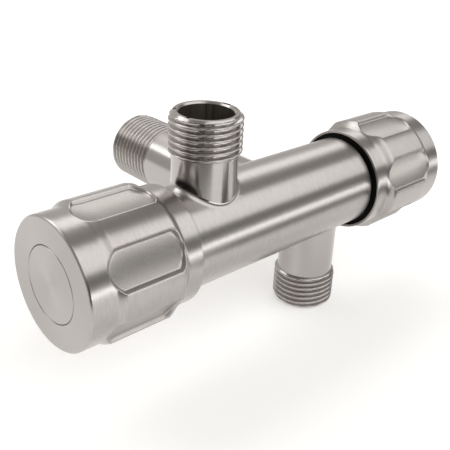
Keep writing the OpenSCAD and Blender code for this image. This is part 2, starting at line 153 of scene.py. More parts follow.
class KnobSizes(bpy.types.PropertyGroup):
    """Sizes of a knob's shell and cap."""

    inner_d: length("Inside", "Inside diameter of the shell", 32.8)
    skirt_d: length("Skirt", "Diameter of the skirt and lip", 34.6)
    rib_d: length("Ribs", "Diameter over the ribs", (SHELL_HI[1] - SHELL_LO[1]) * 1000)
    band_d: length("Band", "Diameter of the smooth band behind the face", 36.3)
    band_l: length("Band length", "Length of the smooth band", 7.2)
    outer_slope_l: length("Outer slope", "Length of the slope from the band to the ribs", 2.6)
    inner_slope_l: length("Inner slope", "Length of the slope from the ribs to the skirt", 2.8)
    skirt_l: length("Skirt length", "Length of the skirt", 5.2)
    face_t: length("Front wall", "Thickness of the front wall", 2.5)
    face_chamfer: length("Face chamfer", "Chamfer round the face", 0.5)
    scoop_w: length("Scoop width", "Width of a scooped grip", 11.7)
    scoop_l: length("Scoop length", "Length of a scooped grip, from tip to tip", 23.2)
    scoop_from_face: length("Scoop start", "Distance of a scoop's tip from the face", 6.3)
    scoop_outer_arc: length("Outer arc", "How far the scoop's end bulges towards the face", 3.0)
    scoop_inner_arc: length("Inner arc", "How far the scoop's end bulges towards the lip", 2.8)
    scoop_depth: length("Scoop depth", "Depth of a scoop at its middle, under the ribs", 2.45)
    scoop_bend: length("Scoop bend", "Radius of the hollow across a scoop", 28)
    scoop_wall: length("Scoop wall", "Width of the steep wall round a scoop", 0.65)
    scoop_round: length("Scoop edge", "How far the rounding of a scoop's edge reaches outside it", 0.15)
    scoop_climb: length("Scoop climb", "How far the floor climbs towards the face", 0.7)
    scoop_climb_l: length("Climb length", "Length of that climb", 6)
    cap_d: length("Cap", "Diameter of the disc in the face", 20.8)
    cap_t: length("Cap thickness", "Thickness of the disc", 1.5)
    scoop_n: IntProperty(name="Scoops", description="Number of scoops round a knob", default=6, min=3, max=9)
    front_turn: FloatProperty(
        name="Front turn", description="First scoop of the front knob from straight up",
        default=math.radians(56), subtype="ANGLE", unit="ROTATION",
    )
    rear_turn: FloatProperty(
        name="Rear turn", description="First scoop of the rear knob from straight up",
        default=math.radians(13.4), subtype="ANGLE", unit="ROTATION",
    )


class FinishColours(bpy.types.PropertyGroup):
    """Colours of the finishes."""

    steel: paint("Stainless", "Brushed and turned stainless steel", "#B2AEAB")
    scoop: paint("Blasted stainless", "Blasted floor of the scoops", "#B0ACA8")
    # The bore's colour is darker than the steel's: painted shade inside the bores and the chambers, over the
    # real bored finish
    bore: paint("Bored stainless with painted shade", "Inside of the spigots", "#7C756E")
    liner: paint("Liner", "Black moulded ABS", "#060606")
    brass: paint("Brass", "Machined brass", "#C9A765")
    ceramic: paint("Ceramic", "Lapped alumina", "#E9E6DE")
    rubber: paint("Rubber", "Black nitrile rubber", "#17171A")
    acetal: paint("Acetal", "White acetal washer", "#EDEBE6")
    spring: paint("Spring steel", "Spring steel and plated screws", "#A9A8A6")


class StudioSettings(bpy.types.PropertyGroup):
    """The camera, the lamps and the floor."""

    azimuth: FloatProperty(name="Azimuth", description="Camera azimuth", default=-47.492)
    elevation: FloatProperty(name="Elevation", description="Camera elevation", default=23.344)
    roll: FloatProperty(name="Roll", description="Camera roll", default=4.554)
    distance: FloatProperty(name="Distance", description="Camera distance", default=0.232573, unit="LENGTH")
    focal: FloatProperty(name="Focal length", description="In pixels of a 450 pixel frame", default=739.137)
    middle_x: FloatProperty(name="Middle X", description="Optical middle in the frame", default=271.321)
    middle_y: FloatProperty(name="Middle Y", description="Optical middle in the frame", default=183.615)
    aim_x: FloatProperty(name="Aim X", description="Point that the camera turns round", default=0.003889)
    aim_z: FloatProperty(name="Aim Z", description="Point that the camera turns round", default=0.00728)
    floor: paint("Floor", "Plain pale floor", "#F2F1EF")


def add(tree, kind, inputs=None, **settings):
    """Adds a node, sets its properties, and fills its sockets with values or links. A node given as a value
    is linked by its first output."""
    made = tree.nodes.new(kind)
    for key, value in settings.items():
        setattr(made, key, value)
    for key, value in (inputs or {}).items():
        if isinstance(value, bpy.types.Node):
            value = value.outputs[0]
        if isinstance(value, bpy.types.NodeSocket):
            tree.links.new(value, made.inputs[key])
        else:
            made.inputs[key].default_value = value
    return made


def blank_material(name):
    """A material with an empty node tree, and that tree."""
    material = bpy.data.materials.new(name)
    material.use_nodes = True
    material.node_tree.nodes.clear()
    return material, material.node_tree


def outwards(mesh, merge=False):
    """Turns a closed mesh's faces outwards, after merging its doubles if asked."""
    work = bmesh.new()
    work.from_mesh(mesh)
    if merge:
        bmesh.ops.remove_doubles(work, verts=work.verts, dist=0.0001 * MM)
    bmesh.ops.recalc_face_normals(work, faces=work.faces)
    work.to_mesh(mesh)
    work.free()


def closed_mesh(name, points, faces):
    """A mesh with its doubles merged and its faces turned outwards."""
    mesh = bpy.data.meshes.new(name)
    mesh.from_pydata([tuple(p) for p in points], [], faces)
    outwards(mesh, merge=True)
    return mesh


def lathe(name, profile, segments):
    """Turns a profile of (along, radius) about the X axis. It starts and ends on the axis, or closes on
    itself."""
    points = []
    faces = []
    angles = np.linspace(0, 2 * math.pi, segments, endpoint=False)
    rows = []
    for along, radius in profile:
        rows.append(len(points))
        if radius == 0:
            points.append((along, 0, 0))
        else:
            points.extend((along, radius * math.cos(a), radius * math.sin(a)) for a in angles)
    on_axis = [radius == 0 for _, radius in profile]
    pairs = list(zip(range(len(profile) - 1), range(1, len(profile))))
    if not on_axis[0]:
        pairs.append((len(profile) - 1, 0))
    for i, j in pairs:
        for k in range(segments):
            m = (k + 1) % segments
            low = [rows[i]] if on_axis[i] else [rows[i] + k, rows[i] + m]
            high = [rows[j]] if on_axis[j] else [rows[j] + m, rows[j] + k]
            if len(low) + len(high) > 2:
                faces.append(low + high)
    return closed_mesh(name, points, faces)


def ringed(name, rings, start, end):
    """A closed solid through rings of points, with a pole at each end."""
    count = len(rings[0])
    points = [start] + [p for ring in rings for p in ring] + [end]
    faces = []
    for k in range(count):
        m = (k + 1) % count
        faces.append([0, 1 + m, 1 + k])
        for i in range(len(rings) - 1):
            a = 1 + i * count
            b = a + count
            faces.append([a + k, a + m, b + m, b + k])
        last = 1 + (len(rings) - 1) * count
        faces.append([last + k, last + m, len(points) - 1])
    return closed_mesh(name, points, faces)


def as_object(name, mesh, matrix=None):
    """Links a mesh as an object at the origin, with its place in its vertices."""
    if matrix is not None:
        mesh.transform(matrix)
    made = bpy.data.objects.new(name, mesh)
    bpy.context.scene.collection.objects.link(made)
    return made


def settled(obj):
    """The object's evaluated mesh in place of its modifiers."""
    graph = bpy.context.evaluated_depsgraph_get()
    graph.update()
    mesh = bpy.data.meshes.new_from_object(obj.evaluated_get(graph))
    obj.modifiers.clear()
    old = obj.data
    obj.data = mesh
    bpy.data.meshes.remove(old)
    return obj


def combine(target, tools, operation):
    """Adds the tools to the target, or cuts them from it, and removes them."""
    for tool in tools:
        cut = target.modifiers.new("Combine", "BOOLEAN")
        cut.operation = operation
        cut.solver = "MANIFOLD"
        cut.object = tool
    settled(target)
    for tool in tools:
        mesh = tool.data
        bpy.data.objects.remove(tool)
        bpy.data.meshes.remove(mesh)


def smooth(obj, degrees):
    """Smooth shading with sharp edges over an angle."""
    obj.data.shade_smooth()
    obj.data.set_sharp_from_angle(angle=math.radians(degrees))


def thread_tree():
    """A Geometry Nodes tree that turns a grid into a bar with a helical thread, closed at both ends.
    The grid's
    first and last rows close to poles on the axis."""
    tree = bpy.data.node_groups.new("Threaded bar", "GeometryNodeTree")
    face = tree.interface
    face.new_socket("Geometry", in_out="INPUT", socket_type="NodeSocketGeometry")
    for name in ("Crest radius", "Depth", "Pitch", "Start", "End", "Chamfer", "Run-out", "Phase"):
        face.new_socket(name, in_out="INPUT", socket_type="NodeSocketFloat")
    for name in ("Rows", "Segments"):
        face.new_socket(name, in_out="INPUT", socket_type="NodeSocketInt")
    face.new_socket("Material", in_out="INPUT", socket_type="NodeSocketMaterial")
    face.new_socket("Geometry", in_out="OUTPUT", socket_type="NodeSocketGeometry")
    given = add(tree, "NodeGroupInput").outputs
    across = add(tree, MATH, {0: given["Segments"], 1: 1}, operation="ADD")
    grid = add(tree, "GeometryNodeMeshGrid", {
        "Size X": 1.0, "Size Y": 1.0, "Vertices X": across, "Vertices Y": given["Rows"],
    })
    # Where a point of the grid lies: its share of the turn, and its row counted from the first pole
    place = add(tree, "ShaderNodeSeparateXYZ", {0: add(tree, "GeometryNodeInputPosition")})
    share = add(tree, MATH, {0: place.outputs["X"], 1: 0.5}, operation="ADD")
    angle = add(tree, MATH, {0: share, 1: 2 * math.pi}, operation="MULTIPLY")
    last_row = add(tree, MATH, {0: given["Rows"], 1: 1}, operation="SUBTRACT")
    row_share = add(tree, MATH, {0: place.outputs["Y"], 1: 0.5}, operation="ADD")
    row_place = add(tree, MATH, {0: row_share, 1: last_row}, operation="MULTIPLY")
    row = add(tree, MATH, {0: row_place}, operation="ROUND")
    # Height along the bar, on the rows between the poles
    inner_rows = add(tree, MATH, {0: last_row, 1: 2}, operation="SUBTRACT")
    inner_row = add(tree, MATH, {0: row, 1: 1}, operation="SUBTRACT")
    climb = add(tree, MATH, {0: inner_row, 1: inner_rows}, operation="DIVIDE", use_clamp=True)
    bar_length = add(tree, MATH, {0: given["End"], 1: given["Start"]}, operation="SUBTRACT")
    height = add(tree, MATH, {0: climb, 1: bar_length, 2: given["Start"]}, operation="MULTIPLY_ADD")
    # The thread's form: 0 at the root and 1 at the crest, with rounded flanks
    pitches = add(tree, MATH, {0: height, 1: given["Pitch"]}, operation="DIVIDE")
    helix = add(tree, MATH, {0: pitches, 1: share}, operation="SUBTRACT")
    turn = add(tree, MATH, {0: helix, 1: given["Phase"]}, operation="ADD")
    phase = add(tree, MATH, {0: turn}, operation="FRACT")
    centred = add(tree, MATH, {0: phase, 1: 2, 2: -1}, operation="MULTIPLY_ADD")
    from_crest = add(tree, MATH, {0: centred}, operation="ABSOLUTE")
    ridge = add(tree, MATH, {0: 1, 1: from_crest}, operation="SUBTRACT")
    flank = add(tree, "ShaderNodeMapRange", {
        "Value": ridge, "From Min": 0.2, "From Max": 0.88,
    }, interpolation_type="SMOOTHSTEP")
    from_start = add(tree, MATH, {0: height, 1: given["Start"]}, operation="SUBTRACT")
    fade = add(tree, "ShaderNodeMapRange", {
        "Value": from_start, "From Min": 0.0, "From Max": given["Run-out"],
    }, interpolation_type="SMOOTHSTEP")
    root = add(tree, MATH, {0: given["Crest radius"], 1: given["Depth"]}, operation="SUBTRACT")
    form = add(tree, MATH, {0: flank, 1: fade}, operation="MULTIPLY")
    rise = add(tree, MATH, {0: form, 1: given["Depth"]}, operation="MULTIPLY")
    thread = add(tree, MATH, {0: root, 1: rise}, operation="ADD")
    # The chamfer on the first turn is a cone that cuts the thread
    cone_end = add(tree, MATH, {0: given["Crest radius"], 1: given["Chamfer"]}, operation="SUBTRACT")
    to_end = add(tree, MATH, {0: given["End"], 1: height}, operation="SUBTRACT")
    cone = add(tree, MATH, {0: cone_end, 1: to_end}, operation="ADD")
    chamfered = add(tree, MATH, {0: thread, 1: cone}, operation="MINIMUM")
    not_first = add(tree, MATH, {0: row, 1: 0.5}, operation="GREATER_THAN")
    last_line = add(tree, MATH, {0: last_row, 1: 0.5}, operation="SUBTRACT")
    not_last = add(tree, MATH, {0: row, 1: last_line}, operation="LESS_THAN")
    off_poles = add(tree, MATH, {0: not_first, 1: not_last}, operation="MULTIPLY")
    radius = add(tree, MATH, {0: chamfered, 1: off_poles}, operation="MULTIPLY")
    cosine = add(tree, MATH, {0: angle}, operation="COSINE")
    sine = add(tree, MATH, {0: angle}, operation="SINE")
    spot = add(tree, "ShaderNodeCombineXYZ", {
        "X": add(tree, MATH, {0: radius, 1: cosine}, operation="MULTIPLY"),
        "Y": add(tree, MATH, {0: radius, 1: sine}, operation="MULTIPLY"),
        "Z": height,
    })
    wrapped = add(tree, "GeometryNodeSetPosition", {"Geometry": grid.outputs["Mesh"], "Position": spot})
    welded = add(tree, "GeometryNodeMergeByDistance", {"Geometry": wrapped, "Distance": 0.002 * MM})
    real = add(tree, "GeometryNodeRealizeInstances", {"Geometry": welded})
    coated = add(tree, "GeometryNodeSetMaterial", {"Geometry": real, "Material": given["Material"]})
    add(tree, "NodeGroupOutput", {0: coated})
    return tree


def repeat_tree():
    """A Geometry Nodes tree that repeats its own mesh round the X axis."""
    tree = bpy.data.node_groups.new("Round the knob", "GeometryNodeTree")
    face = tree.interface
    face.new_socket("Geometry", in_out="INPUT", socket_type="NodeSocketGeometry")
    face.new_socket("Count", in_out="INPUT", socket_type="NodeSocketInt")
    face.new_socket("First angle", in_out="INPUT", socket_type="NodeSocketFloat")
    face.new_socket("Material", in_out="INPUT", socket_type="NodeSocketMaterial")
    face.new_socket("Geometry", in_out="OUTPUT", socket_type="NodeSocketGeometry")
    given = add(tree, "NodeGroupInput").outputs
    spots = add(tree, "GeometryNodePoints", {"Count": given["Count"]})
    step = add(tree, MATH, {0: 2 * math.pi, 1: given["Count"]}, operation="DIVIDE")
    number = add(tree, "GeometryNodeInputIndex")
    angle = add(tree, MATH, {0: number, 1: step, 2: given["First angle"]}, operation="MULTIPLY_ADD")
    turned = add(tree, "ShaderNodeCombineXYZ", {"X": angle})
    placed = add(tree, "GeometryNodeInstanceOnPoints", {
        "Points": spots, "Instance": given["Geometry"], "Rotation": turned,
    })
    real = add(tree, "GeometryNodeRealizeInstances", {"Geometry": placed})
    welded = add(tree, "GeometryNodeMergeByDistance", {"Geometry": real, "Distance": 0.005 * MM})
    coated = add(tree, "GeometryNodeSetMaterial", {"Geometry": welded, "Material": given["Material"]})
    add(tree, "NodeGroupOutput", {0: coated})
    return tree


def grown(obj, tree, values):
    """Runs a Geometry Nodes tree on an object with the given inputs and keeps its result."""
    modifier = obj.modifiers.new(tree.name, "NODES")
    modifier.node_group = tree
    for item in tree.interface.items_tree:
        if item.in_out == "INPUT" and item.name in values:
            modifier[item.identifier] = values[item.name]
    return settled(obj)


def threaded_bar(tree, material, crest_d, start, end, phase, matrix):
    """A closed threaded bar along +Z, placed by the matrix. The thread fades out over the run-out at its
    start."""
    s = bpy.context.scene.valve_casting
    run_out = 1.6 * MM
    rows = int(round((end - start) / s.pitch * ROWS_PER_PITCH))
    pole_rows = 3
    bar = as_object("bar", bpy.data.meshes.new("bar"))
    grown(bar, tree, {
        "Crest radius": crest_d / 2, "Depth": s.thread_depth, "Pitch": s.pitch, "Start": start, "End": end,
        "Chamfer": s.thread_chamfer, "Run-out": run_out, "Phase": phase,
        "Rows": rows + pole_rows, "Segments": THREAD_SEGMENTS, "Material": material,
    })
    outwards(bar.data)
    bar.data.transform(matrix)
    return bar


def spigot(root_r, top_r, top, fillet, matrix):
    """A spigot's neck along +Z with the fillet that a rolling ball leaves where it meets the tube."""
    s = bpy.context.scene.valve_casting
    body_r = s.tube_d / 2
    sink = 0.02 * MM
    steps = 8
    foot = body_r * 0.3
    inside_tube = 0.96
    rings = [[] for _ in range(steps + 4)]
    for k in range(SPIGOT_SEGMENTS):
        phi = 2 * math.pi * k / SPIGOT_SEGMENTS
        side = (root_r + fillet) * math.sin(phi)
        ball = Vector(((root_r + fillet) * math.cos(phi), side, math.sqrt((body_r + fillet) ** 2 - side**2)))
        on_port = Vector((root_r * math.cos(phi), root_r * math.sin(phi), ball.z))
        shrink = body_r / (body_r + fillet)
        on_tube = Vector((ball.x, ball.y * shrink, ball.z * shrink))
        rings[0].append(Vector((on_port.x, on_port.y, foot)))
        rings[1].append(Vector((on_tube.x, on_tube.y * inside_tube, on_tube.z * inside_tube)))
        start = (on_tube - ball).normalized()
        end = (on_port - ball).normalized()
        for i in range(steps + 1):
            way = start.lerp(end, i / steps).normalized()
            rings[2 + i].append(ball + way * (fillet + sink))
        rings[-1].append(Vector((top_r * math.cos(phi), top_r * math.sin(phi), top)))
    mesh = ringed("spigot", rings, Vector((0, 0, foot)), Vector((0, 0, top)))
    return as_object("spigot", mesh, matrix)


def finish_steel(name, grain, roughness, colour, anisotropy, contrast=0.17):
    """Stainless steel, type 304, with a directional grain: warm grey, satin, with fine lines across its
    highlights. The grain is the size of a line in millimetres along X, Y and Z. Real lines are about 0.1 mm
    wide or less, and these are drawn coarser, so that they show."""
    material, tree = blank_material(name)
    place = add(tree, "ShaderNodeTexCoord").outputs["Object"]
    spread = add(tree, "ShaderNodeMapping", {
        "Vector": place, "Scale": tuple(1 / (g * MM) for g in grain),
    })
    lines = add(tree, "ShaderNodeTexNoise", {
        "Vector": spread, "Scale": 1.0, "Detail": 3.0, "Roughness": 0.6,
    }).outputs["Fac"]
    shade = add(tree, "ShaderNodeMapRange", {
        "Value": lines, "From Min": 0.3, "From Max": 0.7,
        "To Min": 1 - contrast / 2, "To Max": 1 + contrast / 2,
    })
    tint = add(tree, "ShaderNodeMix", {
        "Factor": 1.0, 6: colour, 7: shade,
    }, data_type="RGBA", blend_type="MULTIPLY")
    bump = add(tree, "ShaderNodeBump", {"Height": lines, "Strength": 0.3, "Distance": 0.008 * MM})
    shader = add(tree, "ShaderNodeBsdfPrincipled", {
        "Base Color": tint.outputs[2], "Metallic": 1.0, "Roughness": roughness,
        "Anisotropic": anisotropy, "Normal": bump,
    })
    if anisotropy:
        # The lines run round the axis along which the grain is finest
        axis = [0.0, 0.0, 0.0]
        axis[grain.index(min(grain))] = 1.0
        normal = add(tree, "ShaderNodeNewGeometry").outputs["Normal"]
        along = add(tree, "ShaderNodeVectorMath", {0: normal, 1: tuple(axis)}, operation="CROSS_PRODUCT")
        way = add(tree, "ShaderNodeVectorMath", {0: along, 1: normal}, operation="CROSS_PRODUCT")
        tree.links.new(way.outputs[0], shader.inputs["Tangent"])
    add(tree, "ShaderNodeOutputMaterial", {"Surface": shader})
    return material


def finish_spun(name, colour):
    """Stainless steel faced on a lathe: satin and even, with fine rings round the knob's axis. The rings are
    drawn coarser than the real ones of about 0.1 mm, so that they show."""
    ring_pitch = 0.3 * MM
    material, tree = blank_material(name)
    place = add(tree, "ShaderNodeTexCoord").outputs["Object"]
    centred = add(tree, "ShaderNodeMapping", {"Vector": place, "Location": (0.0, -TUBE_Y, 0.0)})
    parts = add(tree, "ShaderNodeSeparateXYZ", {0: centred})
    spoke = add(tree, "ShaderNodeCombineXYZ", {"Y": parts.outputs["Y"], "Z": parts.outputs["Z"]})
    away = add(tree, "ShaderNodeVectorTransform", {
        0: spoke,
    }, vector_type="VECTOR", convert_from="OBJECT", convert_to="WORLD")
    radius = add(tree, "ShaderNodeVectorMath", {0: spoke}, operation="LENGTH").outputs["Value"]
    ring = add(tree, MATH, {0: radius, 1: 1 / ring_pitch}, operation="MULTIPLY")
    ring_at = add(tree, "ShaderNodeCombineXYZ", {"X": ring})
    rings = add(tree, "ShaderNodeTexNoise", {"Vector": ring_at, "Scale": 1.0, "Detail": 3.0}).outputs["Fac"]
    shade = add(tree, "ShaderNodeMapRange", {
        "Value": rings, "From Min": 0.25, "From Max": 0.75, "To Min": 0.96, "To Max": 1.03,
    })
    tint = add(tree, "ShaderNodeMix", {
        "Factor": 1.0, 6: colour, 7: shade,
    }, data_type="RGBA", blend_type="MULTIPLY")
    gloss = add(tree, "ShaderNodeMapRange", {
        "Value": rings, "From Min": 0.25, "From Max": 0.75, "To Min": 0.3, "To Max": 0.4,
    })
    bump = add(tree, "ShaderNodeBump", {"Height": rings, "Strength": 0.15, "Distance": 0.02 * MM})
    shader = add(tree, "ShaderNodeBsdfPrincipled", {
        "Base Color": tint.outputs[2], "Metallic": 1.0, "Roughness": gloss,
        "Anisotropic": 0.65, "Tangent": away, "Normal": bump,
    })
    add(tree, "ShaderNodeOutputMaterial", {"Surface": shader})
    return material


def finish_plain(name, colour, metallic, roughness, grain_mm, depth_mm, spread, specular=0.5):
    """A fine even grain, as on moulded plastic, rubber, lapped ceramic and blasted or machined metal. The
    grain's size and depth are in millimetres, and the spread is how much darker its low places are."""
    material, tree = blank_material(name)
    place = add(tree, "ShaderNodeTexCoord").outputs["Object"]
    specks = add(tree, "ShaderNodeTexNoise", {
        "Vector": place, "Scale": 1 / (grain_mm * MM), "Detail": 3.0, "Roughness": 0.55,
    }).outputs["Fac"]
    shade = add(tree, "ShaderNodeMapRange", {
        "Value": specks, "From Min": 0.25, "From Max": 0.75, "To Min": 1 - spread, "To Max": 1 + spread / 2,
    })
    tint = add(tree, "ShaderNodeMix", {
        "Factor": 1.0, 6: colour, 7: shade,
    }, data_type="RGBA", blend_type="MULTIPLY")
    gloss = add(tree, "ShaderNodeMapRange", {
        "Value": specks, "To Min": roughness - 0.06, "To Max": roughness + 0.06,
    })
    bump = add(tree, "ShaderNodeBump", {"Height": specks, "Strength": 0.5, "Distance": depth_mm * MM})
    shader = add(tree, "ShaderNodeBsdfPrincipled", {
        "Base Color": tint.outputs[2], "Metallic": metallic, "Roughness": gloss,
        "Specular IOR Level": specular, "Normal": bump,
    })
    add(tree, "ShaderNodeOutputMaterial", {"Surface": shader})
    return material


FINISHES = {}


class VALVE_OT_finishes(bpy.types.Operator):
    """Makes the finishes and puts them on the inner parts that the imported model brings"""

    bl_idname = "valve.finishes"
    bl_label = "Finishes"

    def execute(self, context):
        c = context.scene.valve_finish
        steel = tuple(c.steel)
        round_x = (0.28, 3.0, 3.0)
        FINISHES.update({
            # Brushed round the tube: a long soft highlight, with fine lines across it
            "tube": finish_steel("brushed_stainless_tube", round_x, 0.3, steel, 0.6),
            # Turned on a lathe: brighter and smoother than the brushed tube
            "outlet": finish_steel("turned_stainless_outlet", (5.0, 5.0, 0.2), 0.19, steel, 0.3, 0.06),
            "inlet": finish_steel("turned_stainless_inlet", (5.0, 0.2, 5.0), 0.2, steel, 0.3, 0.06),
            # Brushed round the knob, as the tube is
            "knob": finish_steel("brushed_stainless_knob", round_x, 0.3, steel, 0.6),
            # Faced on a lathe: an even satin face
            "face": finish_spun("spun_stainless_face", steel),
            # Blasted: dull and finely mottled, without lines
            "scoop": finish_plain("blasted_stainless_scoop", tuple(c.scoop), 1.0, 0.34, 0.35, 0.012, 0.16),
            # Bored and left rough, with long streaks along the bore; its dark colour is painted shade inside
            # the bores and chambers
            "bore": finish_steel("bored_stainless_painted_shade", (1.1, 1.1, 30.0), 0.5, tuple(c.bore), 0.0, 0.9),
            # Moulded ABS: near black, with hardly any shine
            "liner": finish_plain("black_abs_liner", tuple(c.liner), 0.0, 0.6, 0.2, 0.005, 0.2, 0.15),
            # Machined brass: warm yellow and bright
            "brass": finish_plain("machined_brass", tuple(c.brass), 1.0, 0.28, 0.3, 0.01, 0.1),
            # Lapped alumina: off-white and glossy, almost without grain
            "ceramic": finish_plain("lapped_alumina", tuple(c.ceramic), 0.0, 0.22, 0.15, 0.003, 0.03),
            # Moulded nitrile rubber: soft black, dull
            "rubber": finish_plain("moulded_nitrile_rubber", tuple(c.rubber), 0.0, 0.6, 0.2, 0.01, 0.25),
            # Moulded acetal: milky white with a soft shine
            "acetal": finish_plain("white_acetal", tuple(c.acetal), 0.0, 0.4, 0.3, 0.005, 0.04),
            # Hardened spring steel: plain mid grey with some shine
            "spring": finish_plain("spring_steel", tuple(c.spring), 1.0, 0.3, 0.25, 0.006, 0.08),
        })
        worn_by = {
            "cartridge_housing": "brass", "housing_seal": "rubber", "seat_seal": "rubber",
            "fixed_disc": "ceramic", "moving_disc": "ceramic", "stem": "brass", "stem_o_rings": "rubber",
            "thrust_washer": "acetal", "circlip": "spring", "knob_liner": "liner", "handle_screw": "spring",
            "knob_shell": "knob", "knob_cap": "face",
        }
        for name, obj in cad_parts.items():
            kind = name.split("_", 1)[1] if name.startswith(("front_", "rear_")) else name
            wanted = FINISHES[worn_by.get(kind, "tube")]
            for slot in obj.material_slots:
                slot.material = wanted
        return {"FINISHED"}


class VALVE_OT_casting(bpy.types.Operator):
    """Builds the body casting with its helical threads, fillets and bores"""

    bl_idname = "valve.casting"
    bl_label = "Body casting"

    def execute(self, context):
        s = context.scene.valve_casting
        half = s.tube_l / 2 + s.tube_skirt_l
        body_r = s.tube_d / 2
        row_inset = 2 * MM
        rows = 40
        upper = REAR @ Matrix.Translation((-s.outlet_offset, 0, 0))
        lower = REAR @ Matrix.Translation((s.outlet_offset, 0, 0)) @ Matrix.Rotation(math.pi, 4, "X")
        inlet = REAR @ Matrix.Translation((s.inlet_offset, 0, 0)) @ Matrix.Rotation(-math.pi / 2, 4, "X")
        tube = [(-half, 0), (-half, body_r - s.tube_chamfer), (-half + s.tube_chamfer, body_r)]
        tube += [(x, body_r) for x in np.linspace(-half + row_inset, half - row_inset, rows)]
        tube += [(half - s.tube_chamfer, body_r), (half, body_r - s.tube_chamfer), (half, 0)]
        casting = as_object("body_casting", lathe("body_casting", tube, TUBE_SEGMENTS), REAR)
        threads = thread_tree()
        neck_r = s.outlet_neck_d / 2
        out_l = s.outlet_thread_l
        in_l = s.inlet_thread_l
        sunk = 0.8 * MM
        tools = [
            spigot(neck_r, neck_r, s.upper_reach - out_l, s.upper_fillet, upper),
            spigot(neck_r, neck_r, s.lower_reach - out_l, s.lower_fillet, lower),
            spigot(s.inlet_root_d / 2, s.inlet_neck_d / 2, s.inlet_reach - in_l, s.inlet_fillet, inlet),
            threaded_bar(threads, FINISHES["outlet"], s.outlet_thread_d, s.upper_reach - out_l - sunk,
                         s.upper_reach, 0.1, upper),
            threaded_bar(threads, FINISHES["outlet"], s.outlet_thread_d, s.lower_reach - out_l - sunk,
                         s.lower_reach, 0.6, lower),
            threaded_bar(threads, FINISHES["inlet"], s.inlet_thread_d, s.inlet_reach - in_l - sunk,
                         s.inlet_reach, 0.3, inlet),
        ]
        combine(casting, tools, "UNION")
        seat = s.inlet_chamber_l / 2 + s.web_t
        chamber_end = s.outlet_offset + s.outlet_bore_d / 2 + 0.2 * MM
        over = 1 * MM
        seal_end = s.tube_l / 2 - s.seal_recess_l
        chamber = [
            (-half - over, 0), (-half - over, s.tube_skirt_d / 2), (-s.tube_l / 2, s.tube_skirt_d / 2),
            (-s.tube_l / 2, s.seal_recess_d / 2), (-seal_end, s.seal_recess_d / 2),
            (-seal_end, s.cartridge_bore_d / 2), (-chamber_end, s.cartridge_bore_d / 2),
            (-chamber_end, s.chamber_d / 2), (-seat, s.chamber_d / 2), (-seat, s.seat_hole_d / 2),
            (-seat + s.web_t, s.seat_hole_d / 2), (-seat + s.web_t, s.chamber_d / 2),
        ]
        chamber += [(-x, r) for x, r in reversed(chamber)]
        cutters = [as_object("chamber", lathe("chamber", chamber, BORE_SEGMENTS), REAR)]
        for matrix, reach, bore_d in (
            (upper, s.upper_reach, s.outlet_bore_d),
            (lower, s.lower_reach, s.outlet_bore_d),
            (inlet, s.inlet_reach, s.inlet_bore_d),
        ):
            r = bore_d / 2
            bore = [
                (body_r / 3, 0), (body_r / 3, r), (reach - s.bore_chamfer, r),
                (reach + s.bore_chamfer, r + 2 * s.bore_chamfer), (reach + s.bore_chamfer, 0),
            ]
            upright = matrix @ Matrix.Rotation(-math.pi / 2, 4, "Y")
            cutters.append(as_object("bore", lathe("bore", bore, BORE_SEGMENTS), upright))
        combine(casting, cutters, "DIFFERENCE")
        self.coat(casting, s)
        smooth(casting, 42)
        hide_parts("valve_body")
        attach(casting, "valve_body")
        return {"FINISHED"}

    def coat(self, casting, s):
        """Gives each face the finish of the surface that it lies on."""
        mesh = casting.data
        mesh.materials.clear()
        for name in ("tube", "outlet", "inlet", "bore"):
            mesh.materials.append(FINISHES[name])
        outlet, inlet, bore = 1, 2, 3
        near = 0.02 * MM
        count = len(mesh.polygons)
        centre = np.empty(count * 3)
        mesh.polygons.foreach_get("center", centre)
        x, y, z = (centre.reshape(-1, 3) - np.array(TUBE_MIDDLE)).T
        from_tube = np.hypot(y, z)
        body_r = s.tube_d / 2
        side = np.where(z > 0, -1, 1)
        from_outlet = np.hypot(x - side * s.outlet_offset, y)
        from_inlet = np.hypot(x - s.inlet_offset, z)
        index = np.zeros(count, dtype=np.int32)
        on_outlet = (np.abs(z) > body_r * 0.7) & (from_outlet < s.outlet_thread_d / 2 + 0.1 * MM)
        on_outlet &= (from_outlet < s.outlet_neck_d / 2 + near) | (np.abs(z) > body_r + 4 * MM)
        index[on_outlet & (from_tube > body_r - 4 * MM)] = outlet
        index[(y > body_r * 0.6) & (from_inlet < s.inlet_root_d / 2 + near)] = inlet
        # The chamber's and the bores' faces take the darker bore finish: painted shade inside them, over the
        # real bored finish
        inside = from_tube < s.chamber_d / 2 + 0.05 * MM
        inside &= np.abs(x) < s.tube_l / 2 - 0.05 * MM
        bores = (from_outlet < s.outlet_bore_d / 2 + near) & (np.abs(z) > body_r / 4)
        bores |= (from_inlet < s.inlet_bore_d / 2 + near) & (y > body_r / 4)
        index[inside | bores] = bore
        mesh.polygons.foreach_set("material_index", index)


